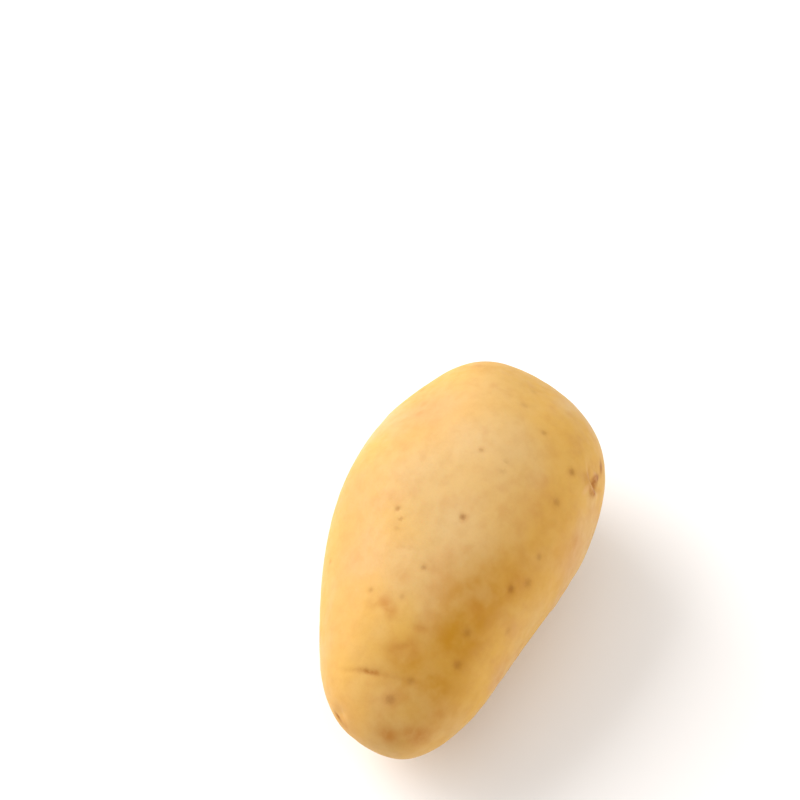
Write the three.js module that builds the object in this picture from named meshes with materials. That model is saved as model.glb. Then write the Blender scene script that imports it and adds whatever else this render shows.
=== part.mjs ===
// A washed, long-oval potato, lying as it rests on a table.
// Millimetres, +Z up. +X runs along the tuber, from the narrow stem end to the wide bud end.
// The skin is one closed surface: a tapered, slightly bent ovoid, plus relief measured in
// millimetres along the outward normal, tipped into its resting pose and pressed flat underneath.

import * as THREE from 'three';
import { mergeVertices } from 'three/addons/utils/BufferGeometryUtils.js';

// Driving dimensions of the plain ovoid
const HALF_LENGTH = 52.5;
const HALF_WIDTH = 28.4;
const HALF_HEIGHT = 25.5;

// How its width and height grow along it, from p = -1 at the stem end to +1 at the bud end
const WIDTH_GROWTH = { taper: 0.23, belly: 0.22, blunt: -0.03 };
const HEIGHT_GROWTH = { taper: 0.17, belly: 0.12, blunt: -0.03 };

// Sideways bend of the tuber's axis, and how far its section leans towards a rounded square
const BEND = -2.3;
const BEND_SKEW = 1.3;
const SQUARENESS = 0.12;

// Resting pose: the narrow end droops, and the underside is pressed flat where it bears
const DROOP = 4.5;
const FLAT_DEPTH = 0.45;

// Mesh density: edge divisions of the icosahedron, how strongly vertices gather at an eye and
// from how far, on the unit sphere of directions, and how close two count as one
const DIVISIONS = 22;
const EYE_GATHER = 0.45;
const EYE_GATHER_REACH = 0.2;
const MERGE_DISTANCE = 1e-5;

// A place on the skin is [p, turn]: p along the tuber from -1 to 1, and the turn about its axis
// in degrees, 0 on the -Y side, 90 on top, 180 on the +Y side and 270 underneath.

// Broad swells and hollows: place, reach and height
const SWELLS = [
  { at: [0.85, 112], reach: 14, height: 1.6 },
  { at: [0.6, 133], reach: 13, height: -1.5 },
  { at: [0.05, 154], reach: 16, height: 1.9 },
  { at: [-0.6, 152], reach: 13, height: -0.5 },
  { at: [-0.4, 4], reach: 15, height: -1.7 },
  { at: [0.85, 69], reach: 13, height: -1.3 },
  { at: [-0.65, 61], reach: 12, height: -0.8 },
  { at: [-0.1, 95], reach: 18, height: 0.5 },
  { at: [0.5, 312], reach: 15, height: 0.9 },
  { at: [-0.3, 245], reach: 15, height: 1.0 },
  { at: [0.1, 212], reach: 12, height: -0.9 },
  { at: [-0.7, 290], reach: 13, height: -0.7 },
  { at: [0.7, 200], reach: 13, height: 0.8 },
];

// Eyes wind round the tuber and crowd together at the bud end
const EYES = [
  { at: [-0.55, 318], width: 10, depth: 1.0 },
  { at: [-0.25, 203], width: 12, depth: 1.3 },
  { at: [0.1, 335], width: 11, depth: 1.2 },
  { at: [0.3, 224], width: 11, depth: 1.2 },
  { at: [0.52, 23], width: 9, depth: 0.9 },
  { at: [0.62, 285], width: 11, depth: 1.2 },
  { at: [0.72, 184], width: 11, depth: 1.3 },
  { at: [0.88, 338], width: 9, depth: 1.3 },
  { at: [0.9, 238], width: 9, depth: 1.2 },
  { at: [0.98, 150], width: 8, depth: 1.3 },
];

// Parts of an eye in shares of its width, offset towards the bud end: a shallow hollow, a pit at
// the foot of the brow, and a bud that swells in the hollow. The brow is on the stem side, and its
// ends curl towards the bud end. The heights are shares of the eye's depth. It ends at the span.
const HOLLOW = { offset: 0.12, along: 0.5, across: 0.7, height: -0.65 };
const PIT = { offset: -0.1, along: 0.16, across: 0.36, height: -0.6 };
const BUD = { offset: 0.14, along: 0.15, across: 0.2, height: 0.45 };
const BROW = { offset: -0.36, along: 0.15, across: 0.52, height: 0.5, curl: 0.3 };
const EYE_SPAN = 2;

// The scar where the tuber hung from its stem, and a small nick in the skin
const STEM_SCAR = { at: [-0.95, 255], reach: 4.2, depth: 1.6 };
const NICK = { at: [-0.93, 158], reach: 1.8, depth: 0.5 };

// Gentle waves that keep the skin from looking turned on a lathe: the way each one runs, the
// distance between its crests, its start and its height
const WAVES = [
  { way: [1, 0.6, -0.4], spacing: 44, start: 0.6, height: 0.25 },
  { way: [0.8, -0.9, 0.5], spacing: 33, start: 1.9, height: 0.2 },
  { way: [-0.3, 0.7, 1], spacing: 25, start: 4, height: 0.15 },
];

const DEGREE = Math.PI / 180;

// Unit direction of a place from the middle of the ovoid
function directionOf([along, turn]) {
  const across = Math.sqrt(1 - along * along);
  return new THREE.Vector3(
    along,
    -across * Math.cos(turn * DEGREE),
    across * Math.sin(turn * DEGREE),
  );
}

function growth({ taper, belly, blunt }, along) {
  return 1 + taper * along + belly * along ** 2 + blunt * along ** 3;
}

// Point of the plain ovoid in a direction
function ovoid(direction) {
  const { x: along, y: side, z: rise } = direction;
  const fullness = 1 + SQUARENESS * side ** 2 * rise ** 2;
  const halfWidth = HALF_WIDTH * growth(WIDTH_GROWTH, along) * fullness;
  const halfHeight = HALF_HEIGHT * growth(HEIGHT_GROWTH, along) * fullness;
  return new THREE.Vector3(
    HALF_LENGTH * along,
    halfWidth * side + BEND * along ** 2 + BEND_SKEW * along ** 3,
    halfHeight * rise,
  );
}

// Outward normal of the ovoid, near enough to raise relief along
function outward(direction) {
  const { x: along, y: side, z: rise } = direction;
  return new THREE.Vector3(along / HALF_LENGTH, side / HALF_WIDTH, rise / HALF_HEIGHT).normalize();
}

// A round bump that fades with distance
function bell(distance, reach) {
  return Math.exp(-((distance / reach) ** 2));
}

// Local frame of an eye on the ovoid: its centre, the way to the bud end and the way round
function eyeFrame(eye) {
  const direction = directionOf(eye.at);
  const normal = outward(direction);
  const toBud = new THREE.Vector3(1, 0, 0);
  toBud.addScaledVector(normal, -normal.x).normalize();
  return {
    ...eye,
    direction,
    centre: ovoid(direction),
    toBud,
    round: new THREE.Vector3().crossVectors(normal, toBud),
  };
}

const eyes = EYES.map(eyeFrame);

const spots = [...SWELLS, STEM_SCAR, NICK].map((spot) => ({
  centre: ovoid(directionOf(spot.at)),
  reach: spot.reach,
  height: spot.height ?? -spot.depth,
}));

// Relief of one eye at a point of the ovoid
function eyeRelief(eye, point) {
  const offset = point.clone().sub(eye.centre).divideScalar(eye.width);
  if (offset.length() > EYE_SPAN) {
    return 0;
  }
  const along = offset.dot(eye.toBud);
  const across = offset.dot(eye.round);
  let height = 0;
  for (const form of [HOLLOW, PIT, BUD, BROW]) {
    const curl = (form.curl ?? 0) * (across / form.across) ** 2;
    const lengthwise = bell(along - form.offset - curl, form.along);
    height += form.height * lengthwise * bell(across, form.across);
  }
  return eye.depth * height;
}

function waveRelief(wave, point) {
  const travel = point.dot(new THREE.Vector3(...wave.way)) / wave.spacing;
  return wave.height * Math.sin(2 * Math.PI * travel + wave.start);
}

// Height of the skin over the ovoid at a point of it
function relief(point) {
  let height = 0;
  for (const wave of WAVES) {
    height += waveRelief(wave, point);
  }
  for (const spot of spots) {
    height += spot.height * bell(point.distanceTo(spot.centre), spot.reach);
  }
  for (const eye of eyes) {
    height += eyeRelief(eye, point);
  }
  return height;
}

// Draw a direction towards the eyes near it, so that the mesh is finer there
function gatherAtEyes(direction) {
  const drawn = direction.clone();
  for (const eye of eyes) {
    const pull = EYE_GATHER * bell(direction.distanceTo(eye.direction), EYE_GATHER_REACH);
    drawn.addScaledVector(eye.direction.clone().sub(direction), pull);
  }
  return drawn.normalize();
}

function skinPoint(direction) {
  const point = ovoid(direction);
  return point.addScaledVector(outward(direction), relief(point));
}

// Lay the tuber down: droop the narrow end, flatten what bears, centre it on the origin
function layToRest(points) {
  const pose = new THREE.Matrix4().makeRotationY(-DROOP * DEGREE);
  for (const point of points) {
    point.applyMatrix4(pose);
  }
  const floor = Math.min(...points.map((point) => point.z)) + FLAT_DEPTH;
  for (const point of points) {
    point.z = Math.max(point.z, floor);
  }
  const box = new THREE.Box3().setFromPoints(points);
  const middle = box.getCenter(new THREE.Vector3());
  for (const point of points) {
    point.sub(new THREE.Vector3(middle.x, middle.y, box.min.z));
  }
}

function potatoGeometry() {
  const sphere = new THREE.IcosahedronGeometry(1, DIVISIONS);
  sphere.deleteAttribute('normal');
  sphere.deleteAttribute('uv');
  const geometry = mergeVertices(sphere, MERGE_DISTANCE);
  const position = geometry.attributes.position;
  const points = [];
  for (let index = 0; index < position.count; index += 1) {
    const direction = new THREE.Vector3().fromBufferAttribute(position, index);
    points.push(skinPoint(gatherAtEyes(direction)));
  }
  layToRest(points);
  points.forEach((point, index) => position.setXYZ(index, point.x, point.y, point.z));
  geometry.computeVertexNormals();
  return geometry;
}

const skin = new THREE.MeshStandardMaterial({
  name: 'skin',
  color: '#e3bc78',
  roughness: 0.55,
  metalness: 0,
});

const potato = new THREE.Mesh(potatoGeometry(), skin);
potato.name = 'potato';

const part = new THREE.Group();
part.add(potato);

export default part;
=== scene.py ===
"""Looks of a washed potato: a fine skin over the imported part, its finish, and a pale studio.

Lengths are in millimetres and are turned into Blender's metres where a mesh or object is made.
A place on the skin is (p, turn): p along the tuber from -1 at the stem end to 1 at the bud end,
and the turn about its axis in degrees, 0 on the -Y side, 90 on top, 180 on the +Y side.
A point seen in the photograph is (x, y) in its 800 by 800 pixels.
"""

import math
from collections import namedtuple

import bpy
import numpy as np
from mathutils import Matrix, Vector, noise
from mathutils.bvhtree import BVHTree

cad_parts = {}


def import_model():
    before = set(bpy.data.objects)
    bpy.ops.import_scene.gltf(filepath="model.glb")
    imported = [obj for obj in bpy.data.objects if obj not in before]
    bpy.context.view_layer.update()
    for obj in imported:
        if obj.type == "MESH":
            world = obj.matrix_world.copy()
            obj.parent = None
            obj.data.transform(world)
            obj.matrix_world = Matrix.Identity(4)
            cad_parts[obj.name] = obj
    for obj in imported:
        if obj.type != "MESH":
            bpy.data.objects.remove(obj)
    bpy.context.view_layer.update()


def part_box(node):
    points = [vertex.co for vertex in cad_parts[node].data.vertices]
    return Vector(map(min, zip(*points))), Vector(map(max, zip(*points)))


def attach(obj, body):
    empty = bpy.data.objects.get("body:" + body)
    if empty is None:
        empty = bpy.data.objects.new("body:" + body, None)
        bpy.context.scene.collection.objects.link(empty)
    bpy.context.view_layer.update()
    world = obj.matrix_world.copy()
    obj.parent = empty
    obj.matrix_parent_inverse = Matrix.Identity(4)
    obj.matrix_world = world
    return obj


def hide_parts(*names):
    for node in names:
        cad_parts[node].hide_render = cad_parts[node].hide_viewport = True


MM = 0.001
SEED = 11

# The camera, which looks down on the potato from its narrow end. The photograph's middle is
# above and to the left of the potato, so the camera aims beside it.
PHOTO_SIDE = 800
LENS = 100
SENSOR = 36
CAMERA_AZIMUTH = -67
CAMERA_ELEVATION = 53
CAMERA_DISTANCE = 531
POTATO_MIDDLE = np.array([0, 0, 26])
AIM_RIGHT = -11.7
AIM_UP = 36.8

# Where a pixel's ray misses the potato, the pixel stands for the skin nearest to the point of the
# ray that is this much farther away than the camera's aim
MISS_DEPTH = 20

# The shape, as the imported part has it
HALF_SIZE = np.array([52.5, 28.4, 25.5])
WIDTH_GROWTH = (1, 0.23, 0.22, -0.03)
HEIGHT_GROWTH = (1, 0.17, 0.12, -0.03)
BEND = -2.3
BEND_SKEW = 1.3
SQUARENESS = 0.12
DROOP = 4.5
FLAT_DEPTH = 0.45

# Broad swells and hollows: place, reach and height
SWELLS = [
    ((0.85, 112), 14, 1.6),
    ((0.6, 133), 13, -1.5),
    ((0.05, 154), 16, 1.9),
    ((-0.6, 152), 13, -0.5),
    ((-0.4, 4), 15, -1.7),
    ((0.85, 69), 13, -1.3),
    ((-0.65, 61), 12, -0.8),
    ((-0.1, 95), 18, 0.5),
    ((0.5, 312), 15, 0.9),
    ((-0.3, 245), 15, 1.0),
    ((0.1, 212), 12, -0.9),
    ((-0.7, 290), 13, -0.7),
    ((0.7, 200), 13, 0.8),
]

# Eyes: place, width and depth
EYES = [
    ((-0.55, 318), 10, 1.0),
    ((-0.25, 203), 12, 1.3),
    ((0.1, 335), 11, 1.2),
    ((0.3, 224), 11, 1.2),
    ((0.52, 23), 9, 0.9),
    ((0.62, 285), 11, 1.2),
    ((0.72, 184), 11, 1.3),
    ((0.88, 338), 9, 1.3),
    ((0.9, 238), 9, 1.2),
    ((0.98, 150), 8, 1.3),
]

# Parts of an eye in shares of its width: offset towards the bud end, size along and across,
# height as a share of its depth, and how far its ends curl towards the bud end. Nothing of an eye
# is farther from its centre than its span.
Form = namedtuple("Form", "offset along across height curl", defaults=[0])
HOLLOW = Form(offset=0.12, along=0.5, across=0.7, height=-0.65)
PIT = Form(offset=-0.1, along=0.16, across=0.36, height=-0.6)
BUD = Form(offset=0.14, along=0.15, across=0.2, height=0.45)
BROW = Form(offset=-0.36, along=0.15, across=0.52, height=0.5, curl=0.3)
EYE_SPAN = 2

# The line at the foot of the brow, brown and partly painted shade, a groove that the imported part
# doesn't have. It has no height here, because LID_DEPTH makes it as deep in every eye.
LID = Form(offset=-0.15, along=0.08, across=0.34, height=0, curl=0.12)

# Where the tuber hung from its stem, and a small nick: place, reach and depth
STEM_SCAR = ((-0.95, 255), 4.2, 1.6)
NICK = ((-0.93, 158), 1.8, 0.5)

# Gentle waves of the skin: way, distance between crests, start and height
WAVES = [
    ((1, 0.6, -0.4), 44, 0.6, 0.25),
    ((0.8, -0.9, 0.5), 33, 1.9, 0.2),
    ((-0.3, 0.7, 1), 25, 4, 0.15),
]

# The mesh: quads along one edge of the cube that is blown up to the sphere of directions, how
# strongly they gather at an eye and from how far, and the decimals that make two directions one
DIVISIONS = 118
EYE_GATHER = 0.45
EYE_GATHER_REACH = 0.2
MERGE_DECIMALS = 7

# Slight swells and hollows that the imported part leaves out: place, reach and height
SLIGHT_SWELLS = [
    ((0.95, 78), 8, -0.3),
    ((0.8, 12), 9, 0.2),
    ((0.4, 350), 9, -0.35),
    ((0.13, 347), 5, 0.3),
    ((0.82, 144), 8, -0.25),
    ((0.6, 160), 9, -0.2),
    ((0.35, 158), 8, 0.25),
    ((-0.08, 165), 10, -0.3),
    ((-0.94, 305), 10, 0.5),
    ((-0.5, 340), 12, -0.25),
]

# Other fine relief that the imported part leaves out: depths and heights, and the lumps of the skin
# and of the stem scar, as the height for each size. Skin lower than the bearing height stays flat.
CREASE_DEPTH = 0.2
RIDGE_HEIGHT = 0.2
LID_DEPTH = 0.2
LENTICEL_DEPTH = 0.12
SKIN_LUMPS = {5.5: 0.08, 2.6: 0.05}
SCAR_LUMPS = {1.7: 0.3}
BEARING_HEIGHT = 0.01

# Lenticels seen in the photograph: pixel, radius and darkness
LENTICELS_SEEN = [
    ((463, 517), 0.75, 0.5),
    ((424, 567.5), 0.7, 0.32),
    ((398, 508.5), 0.7, 0.36),
    ((401, 519), 0.65, 0.22),
    ((481.5, 450), 0.65, 0.28),
    ((544, 433), 0.8, 0.28),
    ((572, 472), 0.95, 0.42),
    ((556.5, 502), 1.05, 0.27),
    ((539, 557), 0.9, 0.25),
    ((371, 590), 0.65, 0.24),
    ((411, 681), 0.95, 0.26),
    ((506, 462), 0.8, 0.12),
    ((503, 471), 0.85, 0.12),
    ((524, 405), 1.0, 0.14),
    ((511, 589), 1.05, 0.4),
    ((528, 583), 1.15, 0.28),
    ((467.5, 633), 1.1, 0.26),
    ((457.5, 665), 1.1, 0.3),
    ((390.5, 699.5), 1.15, 0.32),
    ((402, 597), 0.75, 0.15),
    ((330, 562), 0.7, 0.2),
    ((397, 528), 0.8, 0.1),
    ((508, 631), 1.0, 0.16),
    ((533, 391), 1.0, 0.1),
]

# Brown stains in the eye at the photograph's right edge, and a painted shadow stroke beside them: one
# end, the other end, width, strength
STAINS_AND_SHADOW_SEEN = [
    ((595, 478.8), (597.5, 477.5), 1.6, 1.7),
    ((593.3, 485.5), (593.5, 493), 2.2, 1.6),
    # A painted shadow stroke to the left of the stains
    ((590, 488), (590.2, 492.5), 1.1, 0.8),
    ((600.6, 464.5), (600.8, 470.5), 1.9, 1.1),
    ((586, 477), (588, 477), 3.0, 0.35),
]

# A pale ridge below that eye: one end, the other end and width
RIDGE_SEEN = ((583, 493), (589, 485), 1.8)

# Faint brown creases seen in the photograph: one end, the other end, width and darkness
CREASES_SEEN = [
    ((346, 670), (368, 671), 1.2, 0.4),
    ((362, 670.5), (380, 674), 1.4, 0.75),
    ((378, 674), (410, 681), 1.4, 0.2),
    ((399, 546.5), (416, 547.5), 1.2, 0.22),
    ((335.5, 713), (341, 721), 1.3, 1.1),
    ((415, 627.3), (425, 629), 1.0, 0.3),
    ((393, 648), (410, 645), 1.6, 0.25),
]

# Tan blotches seen in the photograph: pixel, reach and strength
BLOTCHES_SEEN = [
    ((383, 601), 1.6, 0.6),
    ((388, 607), 1.7, 0.6),
    ((392, 614), 1.5, 0.5),
    ((372, 604), 1.2, 0.4),
    ((404, 576), 1.8, 0.35),
    ((395, 649), 2.2, 0.4),
    ((410, 648), 2.6, 0.55),
    ((420, 629), 1.4, 0.4),
    ((474, 606), 2.5, 0.4),
    ((384, 732), 1.8, 0.7),
    ((391, 737), 1.9, 0.7),
    ((409, 733), 2.2, 0.6),
    ((421, 737), 2.6, 0.9),
    ((440, 712), 2.6, 0.35),
    ((346, 726), 1.8, 0.6),
    ((576, 541), 2.4, 0.4),
    ((572, 398), 2.2, 0.3),
    ((480, 366), 3.2, 0.4),
    ((556, 504), 2.2, 0.3),
    ((588, 480), 2.6, 0.4),
    ((521, 584.5), 2.2, 0.5),
    ((554, 453), 1.6, 0.3),
    ((419, 414), 1.2, 0.35),
    ((404, 446), 1.8, 0.25),
    ((424, 403), 1.6, 0.3),
]

# An ochre tint of the skin towards the photograph's lower right, partly painted shade of the side
# turned away from the key light: pixel, reach and strength
OCHRE_AND_SHADE_SEEN = [
    ((400, 658), 6, 0.4),
    ((430, 672), 8, 0.8),
    ((465, 634), 8, 0.85),
    ((485, 596), 9, 0.6),
    ((468, 582), 6, 0.3),
    ((512, 586), 6, 0.25),
    ((522, 566), 9, 0.5),
    ((552, 524), 9, 0.4),
    ((572, 440), 7, 0.15),
    ((440, 716), 8, 0.6),
    ((388, 738), 8, 0.45),
    ((408, 576), 5, 0.3),
]

# A painted soft highlight, paler skin along the lit top and front: pixel, reach and strength
PAINTED_HIGHLIGHT_SEEN = [
    ((485, 385), 9, 0.5),
    ((475, 440), 11, 0.7),
    ((412, 470), 10, 0.7),
    ((530, 447), 6, 0.4),
    ((450, 530), 11, 0.8),
    ((515, 495), 7, 0.3),
    ((445, 603), 8, 0.5),
    ((535, 620), 7, 0.4),
    ((592, 502), 4, 0.5),
]

# A rosier tint near the outline, painted warm reflection and shade from the surroundings: pixel, reach
# and strength
EDGE_LIGHT_AND_SHADE_SEEN = [
    ((425, 410), 11, 0.6),
    ((355, 487), 10, 0.55),
    ((350, 560), 10, 0.5),
    ((332, 630), 8, 0.4),
    ((345, 715), 8, 0.4),
    ((572, 560), 7, 0.5),
]

# Marks where the photograph doesn't look: how many places are tried, how far apart they stay, and
# the limits between which their sizes and strengths are drawn
LENTICEL_TRIES = 400
LENTICEL_SPACING = 6.5
LENTICEL_RADII = (0.4, 0.95)
LENTICEL_DARKNESS = (0.15, 0.5)
BLOTCH_TRIES = 26
BLOTCH_SPACING = 13
BLOTCH_REACHES = (1.5, 3.0)
BLOTCH_STRENGTHS = (0.2, 0.6)
CREASE_TRIES = 16
CREASE_SPACING = 18
CREASE_HALF_LENGTHS = (1.5, 4)
CREASE_WIDTH = 1.1
CREASE_DARKNESS = (0.1, 0.35)

# The skin takes such a mark where it faces the camera with less than this cosine and is higher
# above the floor than this
HIDDEN_FACING = 0.1
HIDDEN_LIFT = 0.5

# How far a lenticel reaches and how much nearer it is than the next one, both in radii. Where it
# fails in either, the offset is a fixed one that no blend with its neighbours makes small.
MARK_REACH = 4
MARK_LEAD = 1
NO_MARK_OFFSET = (0, 0, 100)

# How much noise shakes a lenticel's outline, in its own radii, the size of the noise's lumps, and
# the noise's middle value
MARK_WOBBLE = (0.8, 0.8, 0.8)
WOBBLE_SIZE = 0.5
WOBBLE_MIDDLE = (0.5, 0.5, 0.5)

# How much of their colour the blotches take at most, and how much rougher corky skin is
BLOTCH_STRENGTH = 0.8
CORK_ROUGHNESS = 0.25

# The mix node's sockets for colours, by number because their names stand for other kinds too
MIX_SHARE = 0
MIX_FIRST = 6
MIX_SECOND = 7
MIX_RESULT = 2

# Tones of the skin, picked in the picture's 0 to 255 values. Some of them also serve as painted
# highlight, painted warm reflection and painted shade.
GOLDEN = (207, 162, 77)
PALE_AND_HIGHLIGHT = (206, 172, 117)
PINK_AND_EDGE_LIGHT = (197, 145, 90)
OCHRE_AND_SHADE_TONE = (182, 127, 2)
TAN = (172, 114, 42)
BLUSH = (211, 166, 110)
UMBER_AND_LID_SHADE = (142, 86, 32)
RUSSET = (175, 111, 32)
RUST = (157, 94, 12)
DARK = (121, 66, 2)

# The soft boxes: place from the potato in the picture's own right, up and back, side, and light
KEY_LIGHT = {
    "right": -680,
    "up": 640,
    "back": 180,
    "side": 900,
    "watts": 12.5,
    "tint": (1, 0.965, 0.95),
}
FILL_LIGHT = {
    "right": 430,
    "up": -40,
    "back": 170,
    "side": 300,
    "watts": 0.68,
    "tint": (1, 0.86, 0.74),
}
SKY_TONE = (1, 0.99, 0.98, 1)
SKY_STRENGTH = 0.78

# The floor, wide enough to meet the horizon in a low view
FLOOR_HALF = 6000
FLOOR_TONE = (0.9, 0.9, 0.9, 1)
FLOOR_ROUGHNESS = 0.9


def bell(distance, reach):
    return np.exp(-((distance / reach) ** 2))


def unit(vectors):
    return vectors / np.linalg.norm(vectors, axis=-1, keepdims=True)


def distances(points, centre):
    return np.linalg.norm(points - centre, axis=1)


def direction_of(place):
    """Unit direction of a place from the middle of the ovoid."""
    along, turn = place
    across = math.sqrt(1 - along * along)
    angle = math.radians(turn)
    return np.array([along, -across * math.cos(angle), across * math.sin(angle)])


def growth(powers, along):
    return sum(power * along**n for n, power in enumerate(powers))


def ovoid(directions):
    """Points of the plain ovoid in these directions."""
    along, side, rise = directions.T
    fullness = 1 + SQUARENESS * side**2 * rise**2
    half_length, half_width, half_height = HALF_SIZE
    x = half_length * along
    y = half_width * growth(WIDTH_GROWTH, along) * fullness * side
    z = half_height * growth(HEIGHT_GROWTH, along) * fullness * rise
    return np.stack([x, y + BEND * along**2 + BEND_SKEW * along**3, z], axis=-1)


def outward(directions):
    return unit(directions / HALF_SIZE)


class Eye:
    """An eye of the potato, with its own frame: along to the bud end, and across."""

    def __init__(self, place, width, depth):
        self.direction = direction_of(place)
        self.width = width
        self.depth = depth
        self.centre = ovoid(self.direction)
        normal = outward(self.direction)
        length_way = np.array([1, 0, 0])
        self.to_bud = unit(length_way - normal * normal[0])
        self.round = np.cross(normal, self.to_bud)

    def mask(self, form, points):
        """How far one form of the eye covers the points, from 0 to 1."""
        offsets = (points - self.centre) / self.width
        near = np.linalg.norm(offsets, axis=1) < EYE_SPAN
        across = offsets @ self.round
        curl = form.curl * (across / form.across) ** 2
        along = offsets @ self.to_bud - form.offset - curl
        return near * bell(along, form.along) * bell(across, form.across)

    def relief(self, points):
        forms = (HOLLOW, PIT, BUD, BROW)
        return self.depth * sum(form.height * self.mask(form, points) for form in forms)


def spot_relief(points, spots):
    """Height of round swells and hollows of (place, reach, height)."""
    height = np.zeros(len(points))
    for place, reach, rise in spots:
        centre = ovoid(direction_of(place))
        height += rise * bell(distances(points, centre), reach)
    return height


def packed_relief(points, eyes):
    """Height of the skin over the ovoid at points of it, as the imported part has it."""
    height = np.zeros(len(points))
    for way, spacing, start, rise in WAVES:
        height += rise * np.sin(2 * math.pi * (points @ np.array(way)) / spacing + start)
    height += spot_relief(points, SWELLS)
    height -= spot_relief(points, [STEM_SCAR, NICK])
    for eye in eyes:
        height += eye.relief(points)
    return height


def cube_sphere(divisions):
    """Unit directions and quads of a cube blown up to a sphere."""
    steps = np.tan(np.linspace(-1, 1, divisions + 1) * math.pi / 4)
    u, v = [grid.ravel() for grid in np.meshgrid(steps, steps)]
    ones = np.ones_like(u)
    row = divisions + 1
    corner = (np.arange(divisions)[:, None] * row + np.arange(divisions)).ravel()
    quads = np.stack([corner, corner + 1, corner + row + 1, corner + row], axis=1)
    sides = []
    for axis in range(3):
        first = np.roll(np.stack([ones, u, v], axis=1), axis, axis=1)
        opposite = np.roll(np.stack([-ones, v, u], axis=1), axis, axis=1)
        sides += [first, opposite]
    rounded = np.round(unit(np.concatenate(sides)), MERGE_DECIMALS)
    faces = np.concatenate([quads + side * row * row for side in range(len(sides))])
    kept, numbers = np.unique(rounded, axis=0, return_inverse=True)
    return unit(kept), numbers.ravel()[faces]


def gather_at_eyes(directions, eyes):
    """Draw directions towards the eyes near them, so that the mesh is finer there."""
    drawn = directions.copy()
    for eye in eyes:
        pull = EYE_GATHER * bell(distances(directions, eye.direction), EYE_GATHER_REACH)
        drawn += pull[:, None] * (eye.direction - directions)
    return unit(drawn)


def resting_turn():
    return np.array(Matrix.Rotation(math.radians(-DROOP), 3, "Y"))


def lay_to_rest(points):
    """Tip the points into the resting pose, press them flat below, and centre them on the part."""
    posed = points @ resting_turn().T
    posed[:, 2] = np.maximum(posed[:, 2], posed[:, 2].min() + FLAT_DEPTH)
    low, high = np.array(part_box("potato")) / MM
    move = (low + high - posed.min(axis=0) - posed.max(axis=0)) / 2
    move[2] = low[2] - posed[:, 2].min()
    return posed + move


class View:
    """The photograph's camera, which finds the point of the skin behind a pixel."""

    def __init__(self):
        azimuth = math.radians(CAMERA_AZIMUTH)
        elevation = math.radians(CAMERA_ELEVATION)
        level = math.cos(elevation)
        self.back = np.array(
            [math.sin(azimuth) * level, -math.cos(azimuth) * level, math.sin(elevation)]
        )
        self.right = np.array([math.cos(azimuth), math.sin(azimuth), 0])
        self.up = np.cross(self.back, self.right)
        aim = POTATO_MIDDLE + AIM_RIGHT * self.right + AIM_UP * self.up
        self.place = aim + CAMERA_DISTANCE * self.back

    def ray(self, pixel):
        reach = LENS / SENSOR * PHOTO_SIDE
        middle = PHOTO_SIDE / 2
        x = (pixel[0] - middle) / reach
        y = (middle - pixel[1]) / reach
        return x * self.right + y * self.up - self.back

    def on_skin(self, pixel, tree):
        """The skin's point behind a pixel, or the skin's point nearest to its ray."""
        ray = self.ray(pixel)
        hit = tree.ray_cast(Vector(self.place), Vector(ray))[0]
        if hit is None:
            beside = self.place + unit(ray) * (CAMERA_DISTANCE + MISS_DEPTH)
            hit = tree.find_nearest(Vector(beside))[0]
        return np.array(hit)

    def add(self):
        data = bpy.data.cameras.new("camera")
        data.lens = LENS
        data.sensor_width = SENSOR
        camera = bpy.data.objects.new("camera", data)
        camera.location = Vector(self.place * MM)
        turn = Matrix([self.right, self.up, self.back]).transposed()
        camera.rotation_euler = turn.to_euler()
        bpy.context.collection.objects.link(camera)
        bpy.context.scene.camera = camera


class Tuber:
    """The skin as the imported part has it, laid to rest: its points, normals, quads and eyes."""

    def __init__(self, view):
        self.view = view
        self.eyes = [Eye(*eye) for eye in EYES]
        directions, self.quads = cube_sphere(DIVISIONS)
        directions = gather_at_eyes(directions, self.eyes)
        self.plain = ovoid(directions)
        normals = outward(directions)
        height = packed_relief(self.plain, self.eyes)
        self.points = lay_to_rest(self.plain + normals * height[:, None])
        self.normals = normals @ resting_turn().T
        self.tree = BVHTree.FromPolygons(self.points.tolist(), self.quads.tolist())

    def seen(self, pixel):
        """The skin's point that the photograph shows at a pixel."""
        return self.view.on_skin(pixel, self.tree)

    def spots(self, rows):
        """Rows that start with a pixel, with the skin's point instead of it."""
        return [(self.seen(pixel), *rest) for pixel, *rest in rows]

    def lines(self, rows):
        """Rows that start with the pixels of two ends, with the skin's points instead of them."""
        return [(self.seen(start), self.seen(end), *rest) for start, end, *rest in rows]

    def hidden(self):
        """Points where the photograph doesn't look, clear of the floor."""
        turned_away = self.normals @ self.view.back < HIDDEN_FACING
        return self.points[turned_away & (self.points[:, 2] > HIDDEN_LIFT)]

    def eye_mask(self, form):
        return sum(eye.mask(form, self.plain) for eye in self.eyes)

    def scar_mask(self):
        place, reach, _ = STEM_SCAR
        return bell(distances(self.plain, ovoid(direction_of(place))), reach)


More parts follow.
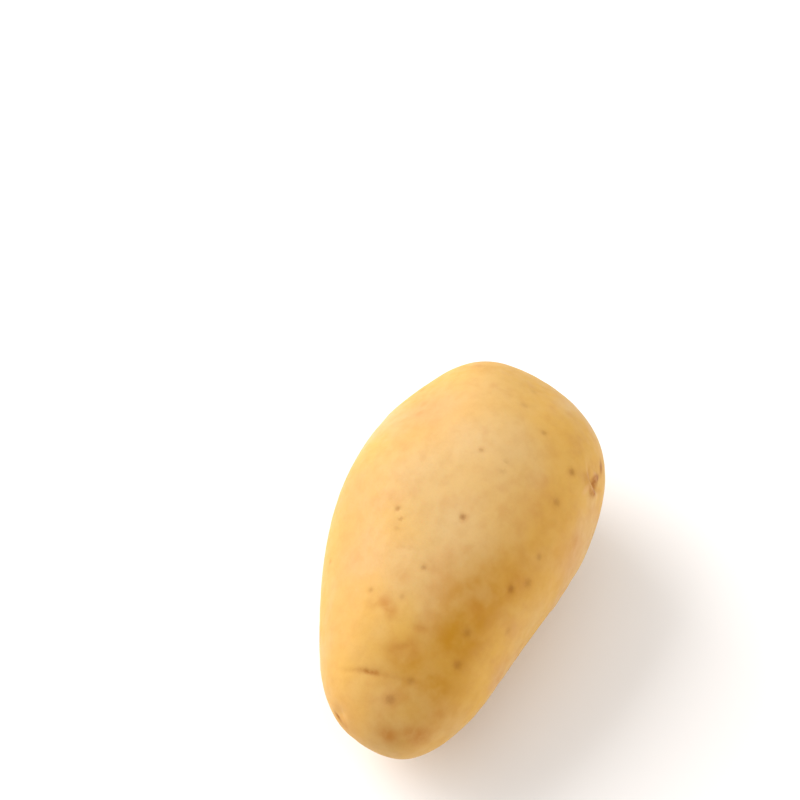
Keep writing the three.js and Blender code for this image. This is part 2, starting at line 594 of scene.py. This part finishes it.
class Scatter:
    """Random marks where the photograph doesn't look."""

    def __init__(self, tuber, taken):
        self.random = np.random.default_rng(SEED)
        self.points = tuber.hidden()
        self.taken = taken

    def centres(self, tries, spacing):
        """Hidden points, none too near another of them or one that is taken."""
        picked = []
        for index in self.random.integers(0, len(self.points), tries):
            point = self.points[index]
            if distances(np.array(self.taken + picked), point).min() > spacing:
                picked.append(point)
        return picked

    def between(self, limits):
        return self.random.uniform(*limits)

    def spots(self, tries, spacing, sizes, strengths):
        """Round marks of (point, size, strength)."""
        centres = self.centres(tries, spacing)
        return [(centre, self.between(sizes), self.between(strengths)) for centre in centres]

    def creases(self):
        """Creases of (one end, the other end, width, darkness), which lie along the skin."""
        creases = []
        for centre in self.centres(CREASE_TRIES, CREASE_SPACING):
            way = unit(np.cross(centre - POTATO_MIDDLE, self.random.normal(size=3)))
            half = way * self.between(CREASE_HALF_LENGTHS)
            darkness = self.between(CREASE_DARKNESS)
            creases.append((centre - half, centre + half, CREASE_WIDTH, darkness))
        return creases


def skin_marks(tuber):
    """Lenticels, blotches and creases: those seen, and others where the photograph doesn't look."""
    seen = tuber.spots(LENTICELS_SEEN)
    scatter = Scatter(tuber, [centre for centre, *_ in seen])
    lenticels = scatter.spots(LENTICEL_TRIES, LENTICEL_SPACING, LENTICEL_RADII, LENTICEL_DARKNESS)
    blotches = scatter.spots(BLOTCH_TRIES, BLOTCH_SPACING, BLOTCH_REACHES, BLOTCH_STRENGTHS)
    creases = scatter.creases()
    return (
        seen + lenticels,
        tuber.spots(BLOTCHES_SEEN) + blotches,
        tuber.lines(CREASES_SEEN) + creases,
    )


def sum_of_bells(points, spots):
    """A mask from spots of (point, reach, strength), at most 1."""
    total = np.zeros(len(points))
    for centre, reach, strength in spots:
        total += strength * bell(distances(points, centre), reach)
    return np.minimum(total, 1)


def long_bell(points, start, end, width):
    """A spindle-shaped mask from start to end, which fades to its sides and its ends."""
    way = unit(end - start)
    half_width = width / 2
    half_length = np.linalg.norm(end - start) / 2 + half_width
    away = points - (start + end) / 2
    lengthwise = away @ way
    aside = np.linalg.norm(away - lengthwise[:, None] * way, axis=1)
    return bell(np.hypot(lengthwise / half_length, aside / half_width), 1)


def sum_of_lines(points, lines):
    """A mask from lines of (one end, the other end, width, strength)."""
    return sum(strength * long_bell(points, *line) for *line, strength in lines)


def nearest_marks(points, marks):
    """For each point: its offset from the nearest mark, in that mark's radii, and how dark it is."""
    offsets = np.zeros((len(points), 3))
    nearest = np.full(len(points), np.inf)
    second = np.full(len(points), np.inf)
    darkness = np.zeros(len(points))
    for centre, radius, dark in marks:
        scaled = (points - centre) / radius
        distance = np.linalg.norm(scaled, axis=1)
        closer = distance < nearest
        second = np.where(closer, nearest, np.minimum(second, distance))
        offsets[closer] = scaled[closer]
        darkness[closer] = dark
        nearest = np.minimum(nearest, distance)
    clear = (nearest > MARK_REACH) | (second < nearest + MARK_LEAD)
    offsets[clear] = NO_MARK_OFFSET
    return offsets, darkness


def unevenness(points, lumps):
    """Heights of lumps, given as the height for each size."""
    heights = np.zeros(len(points))
    for size, height in lumps.items():
        heights += height * np.array([noise.noise(point) for point in (points / size).tolist()])
    return heights


def skin_masks(tuber, lenticels, blotches, creases):
    """What the material reads at each vertex, by name."""
    points = tuber.points
    offsets, darkness = nearest_marks(points, lenticels)
    ridge_start, ridge_end, ridge_width = RIDGE_SEEN
    return {
        "mark_offset": offsets,
        "mark_darkness": darkness,
        "crease": sum_of_lines(points, creases),
        # Stains, with one painted shadow stroke
        "stain_and_shadow": np.minimum(sum_of_lines(points, tuber.lines(STAINS_AND_SHADOW_SEEN)), 1),
        "ridge": long_bell(points, tuber.seen(ridge_start), tuber.seen(ridge_end), ridge_width),
        "blotch": sum_of_bells(points, blotches),
        # An ochre tint that is partly painted shade
        "ochre_and_shade": sum_of_bells(points, tuber.spots(OCHRE_AND_SHADE_SEEN)),
        # A painted soft highlight
        "painted_highlight": sum_of_bells(points, tuber.spots(PAINTED_HIGHLIGHT_SEEN)),
        # Painted warm reflection and shade near the outline
        "painted_edge_light": sum_of_bells(points, tuber.spots(EDGE_LIGHT_AND_SHADE_SEEN)),
        "lid": tuber.eye_mask(LID),
        "hollow": tuber.eye_mask(HOLLOW),
        "bud": tuber.eye_mask(BUD),
        "brow": tuber.eye_mask(BROW),
        "scar": tuber.scar_mask(),
    }


def fine_points(tuber, lenticels, masks):
    """The tuber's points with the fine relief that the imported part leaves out."""
    height = RIDGE_HEIGHT * masks["ridge"]
    height -= CREASE_DEPTH * masks["crease"]
    height -= LID_DEPTH * masks["lid"]
    height -= LENTICEL_DEPTH * sum_of_bells(tuber.points, lenticels)
    height += spot_relief(tuber.plain, SLIGHT_SWELLS)
    height += unevenness(tuber.points, SKIN_LUMPS)
    height += masks["scar"] * unevenness(tuber.points, SCAR_LUMPS)
    height[tuber.points[:, 2] < BEARING_HEIGHT] = 0
    points = tuber.points + tuber.normals * height[:, None]
    points[:, 2] = np.maximum(points[:, 2], 0)
    return points


def store(mesh, name, values):
    """Keep a number or a vector for each vertex, for the material to read."""
    kind, field = ("FLOAT", "value") if values.ndim == 1 else ("FLOAT_VECTOR", "vector")
    attribute = mesh.attributes.new(name, kind, "POINT")
    attribute.data.foreach_set(field, values.astype(np.float32).ravel())


def add_skin(view):
    """The whole potato as one fine mesh, with its marks kept as attributes."""
    tuber = Tuber(view)
    lenticels, blotches, creases = skin_marks(tuber)
    masks = skin_masks(tuber, lenticels, blotches, creases)
    points = fine_points(tuber, lenticels, masks)
    mesh = bpy.data.meshes.new("potato_skin")
    mesh.from_pydata((points * MM).tolist(), [], tuber.quads.tolist())
    mesh.shade_smooth()
    mesh.update()
    for name, values in masks.items():
        store(mesh, name, values)
    mesh.materials.append(SkinMaterial().material)

    skin = bpy.data.objects.new("potato_skin", mesh)
    bpy.context.collection.objects.link(skin)
    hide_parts("potato")
    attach(skin, "root")


def linear_colour(picked):
    """A colour picked in the picture's 0 to 255 values, as the linear colour that Blender takes."""
    linear = [((value / 255 + 0.055) / 1.055) ** 2.4 for value in picked]
    return (*linear, 1.0)


class Graph:
    """Builds a material's nodes. An input is a number, a colour, a vector or another node's output."""

    def __init__(self, tree):
        self.tree = tree
        self.place = self.add("ShaderNodeTexCoord", {}, "Object")

    def add(self, kind, inputs, output=0, **settings):
        node = self.tree.nodes.new(kind)
        for name, value in settings.items():
            setattr(node, name, value)
        for key, value in inputs.items():
            self.feed(node.inputs[key], value)
        return node.outputs[output]

    def feed(self, socket, value):
        if isinstance(value, bpy.types.NodeSocket):
            self.tree.links.new(value, socket)
        else:
            socket.default_value = value

    def attribute(self, name, output="Fac"):
        return self.add("ShaderNodeAttribute", {}, output, attribute_name=name)

    def noise(self, size, detail=2, roughness=0.5, output=0):
        """Noise whose lumps are about that size across."""
        inputs = {"Vector": self.place, "Scale": 1 / (size * MM)}
        inputs |= {"Detail": detail, "Roughness": roughness}
        return self.add("ShaderNodeTexNoise", inputs, output)

    def ramp(self, value, low, high, to_low=0, to_high=1):
        """value carried smoothly from low..high to to_low..to_high."""
        inputs = {"Value": value, "From Min": low, "From Max": high}
        inputs |= {"To Min": to_low, "To Max": to_high}
        return self.add("ShaderNodeMapRange", inputs, interpolation_type="SMOOTHSTEP")

    def math(self, operation, *values):
        return self.add("ShaderNodeMath", dict(enumerate(values)), operation=operation)

    def vector_math(self, operation, *values, output=0):
        inputs = dict(enumerate(values))
        return self.add("ShaderNodeVectorMath", inputs, output, operation=operation)

    def mix(self, share, first, second):
        inputs = {MIX_SHARE: share, MIX_FIRST: first, MIX_SECOND: second}
        return self.add("ShaderNodeMix", inputs, MIX_RESULT, data_type="RGBA")

    def bump(self, height, depth, strength, normal=None):
        inputs = {"Height": height, "Distance": depth * MM, "Strength": strength}
        if normal is not None:
            inputs["Normal"] = normal
        return self.add("ShaderNodeBump", inputs)


class SkinMaterial:
    """The skin's finish, laid on in layers from noise and from what the mesh keeps."""

    def __init__(self):
        self.material = bpy.data.materials.new("potato skin")
        self.material.use_nodes = True
        self.graph = Graph(self.material.node_tree)
        self.shader = self.material.node_tree.nodes["Principled BSDF"]
        self.tone = linear_colour(GOLDEN)
        self.ragged = self.graph.ramp(self.graph.noise(size=2.6, detail=3), 0.3, 0.65, to_low=0.45)
        self.uneven = self.graph.ramp(self.graph.noise(size=1.4), 0.35, 0.65, to_low=0.6)
        self.scar = self.broken("scar", self.uneven)
        self.lid = self.broken("lid", self.uneven)
        self.paint_ground()
        self.paint_mottle()
        self.paint_blotches()
        self.paint_scar()
        self.paint_eyes()
        self.core = self.paint_lenticels()
        self.paint_lines()
        self.graph.feed(self.shader.inputs["Base Color"], self.tone)
        self.set_gloss()
        self.set_relief()

    def broken(self, name, breaker):
        """A mask that the mesh keeps, broken up by noise."""
        return self.graph.math("MULTIPLY", self.graph.attribute(name), breaker)

    def paint(self, share, picked):
        self.tone = self.graph.mix(share, self.tone, linear_colour(picked))

    def paint_ground(self):
        """Golden skin, paler and rosier in random patches, with a painted highlight, painted warm
        reflection and shade near the outline, and an ochre tint that is partly painted shade.
        """
        graph = self.graph
        self.paint(graph.ramp(graph.noise(size=26), 0.42, 0.62, to_high=0.7), PALE_AND_HIGHLIGHT)
        # A painted soft highlight on the lit top and front
        self.paint(graph.attribute("painted_highlight"), PALE_AND_HIGHLIGHT)
        rosy = graph.ramp(graph.noise(size=14, detail=3), 0.52, 0.75, to_high=0.45)
        # Random rosy patches, and painted warm reflection and shade near the outline
        self.paint(graph.math("MAXIMUM", rosy, graph.attribute("painted_edge_light")), PINK_AND_EDGE_LIGHT)
        streaky = graph.ramp(graph.noise(size=7, detail=3), 0.3, 0.7, to_low=0.6)
        # An ochre tint towards the lower right, partly painted shade
        self.paint(self.broken("ochre_and_shade", streaky), OCHRE_AND_SHADE_TONE)

    def paint_mottle(self):
        """Tan clouds and grain."""
        graph = self.graph
        clouds = graph.noise(size=3.5, detail=4, roughness=0.6)
        self.paint(graph.ramp(clouds, 0.35, 0.75, to_high=0.16), TAN)
        self.paint(graph.ramp(graph.noise(size=0.45), 0.45, 0.8, to_high=0.07), TAN)

    def paint_blotches(self):
        blotch = self.broken("blotch", self.ragged)
        self.paint(self.graph.math("MULTIPLY", blotch, BLOTCH_STRENGTH), RUSSET)

    def paint_scar(self):
        """Bark, tan at its rim and brown inside."""
        self.paint(self.graph.ramp(self.scar, 0.1, 0.6, to_high=0.45), TAN)
        self.paint(self.graph.ramp(self.scar, 0.45, 0.95, to_high=0.85), UMBER_AND_LID_SHADE)

    def paint_eyes(self):
        """A pink brow, a tan hollow, a pale bud, a brown line that is partly painted shade in its
        groove, and one eye's pale ridge.
        """
        graph = self.graph
        self.paint(graph.ramp(self.broken("brow", self.ragged), 0.1, 0.9, to_high=0.35), PINK_AND_EDGE_LIGHT)
        self.paint(graph.ramp(self.broken("hollow", self.ragged), 0.3, 0.9, to_high=0.3), TAN)
        self.paint(graph.ramp(graph.attribute("bud"), 0.3, 0.9, to_high=0.5), BLUSH)
        # A brown line with painted shade in the groove at the brow's foot
        self.paint(graph.ramp(self.lid, 0.2, 0.9, to_high=0.85), UMBER_AND_LID_SHADE)
        self.paint(graph.ramp(graph.attribute("ridge"), 0.2, 0.9, to_high=0.45), BLUSH)

    def paint_lenticels(self):
        """Dark cores in a rusty halo, a little out of round. Gives the mask of the cores."""
        graph = self.graph
        wobble = graph.noise(WOBBLE_SIZE, output="Color")
        centred = graph.vector_math("SUBTRACT", wobble, WOBBLE_MIDDLE)
        offset = graph.attribute("mark_offset", "Vector")
        shaken = graph.vector_math("MULTIPLY_ADD", centred, MARK_WOBBLE, offset)
        away = graph.vector_math("LENGTH", shaken, output="Value")
        darkness = graph.attribute("mark_darkness")
        halo = graph.ramp(away, 0.7, 2.4, to_low=0.4, to_high=0)
        self.paint(graph.math("MULTIPLY", halo, darkness), RUST)
        core = graph.ramp(away, 0.1, 1.4, to_low=1, to_high=0)
        core = graph.math("MULTIPLY", core, darkness)
        self.paint(core, DARK)
        return core

    def paint_lines(self):
        """Rusty creases and stains, and one painted shadow stroke beside the stains."""
        self.paint(self.broken("crease", self.uneven), RUST)
        # Rusty stains, and one painted shadow stroke beside them
        self.paint(self.broken("stain_and_shadow", self.uneven), RUST)

    def set_gloss(self):
        """A satin sheen, duller where the skin is corky, and a little light inside the flesh."""
        graph = self.graph
        inputs = self.shader.inputs
        satin = graph.ramp(graph.noise(size=2.2, detail=4), 0.3, 0.7, to_low=0.48, to_high=0.62)
        corky = graph.math("MAXIMUM", graph.math("MAXIMUM", self.core, self.scar), self.lid)
        rough = graph.math("ADD", satin, graph.math("MULTIPLY", corky, CORK_ROUGHNESS))
        graph.feed(inputs["Roughness"], rough)
        inputs["Specular IOR Level"].default_value = 0.25
        inputs["Subsurface Weight"].default_value = 0.12
        inputs["Subsurface Radius"].default_value = (1.0, 0.45, 0.15)
        inputs["Subsurface Scale"].default_value = 3 * MM

    def set_relief(self):
        """Lumps, pores and the lenticels' dents, finer than the mesh can hold."""
        graph = self.graph
        lumps = graph.bump(graph.noise(size=1.6, detail=3, roughness=0.55), depth=0.06, strength=0.6)
        pores = graph.bump(graph.noise(size=0.35), depth=0.02, strength=0.5, normal=lumps)
        sunk = graph.math("MULTIPLY", self.core, -1)
        dents = graph.bump(sunk, depth=0.12, strength=0.7, normal=pores)
        graph.feed(self.shader.inputs["Normal"], dents)


def add_floor():
    half = FLOOR_HALF * MM
    corners = [(-half, -half, 0), (half, -half, 0), (half, half, 0), (-half, half, 0)]
    mesh = bpy.data.meshes.new("floor")
    mesh.from_pydata(corners, [], [(0, 1, 2, 3)])
    floor = bpy.data.objects.new("floor", mesh)
    bpy.context.collection.objects.link(floor)
    material = bpy.data.materials.new("floor")
    material.use_nodes = True
    shader = material.node_tree.nodes["Principled BSDF"]
    shader.inputs["Base Color"].default_value = FLOOR_TONE
    shader.inputs["Roughness"].default_value = FLOOR_ROUGHNESS
    mesh.materials.append(material)


def add_light(name, view, right, up, back, side, watts, tint):
    """A square soft box that faces the potato."""
    data = bpy.data.lights.new(name, "AREA")
    data.shape = "SQUARE"
    data.size = side * MM
    data.energy = watts
    data.color = tint
    light = bpy.data.objects.new(name, data)
    towards = right * view.right + up * view.up + back * view.back
    light.location = Vector((POTATO_MIDDLE + towards) * MM)
    light.rotation_euler = Vector(towards).to_track_quat("Z", "Y").to_euler()
    bpy.context.collection.objects.link(light)


def add_studio(view):
    add_light("key", view, **KEY_LIGHT)
    add_light("fill", view, **FILL_LIGHT)
    world = bpy.data.worlds.new("studio")
    world.use_nodes = True
    sky = world.node_tree.nodes["Background"]
    sky.inputs["Color"].default_value = SKY_TONE
    sky.inputs["Strength"].default_value = SKY_STRENGTH
    bpy.context.scene.world = world
    bpy.context.scene.view_settings.view_transform = "Standard"


def main():
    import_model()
    view = View()
    add_skin(view)
    add_floor()
    add_studio(view)
    view.add()


main()
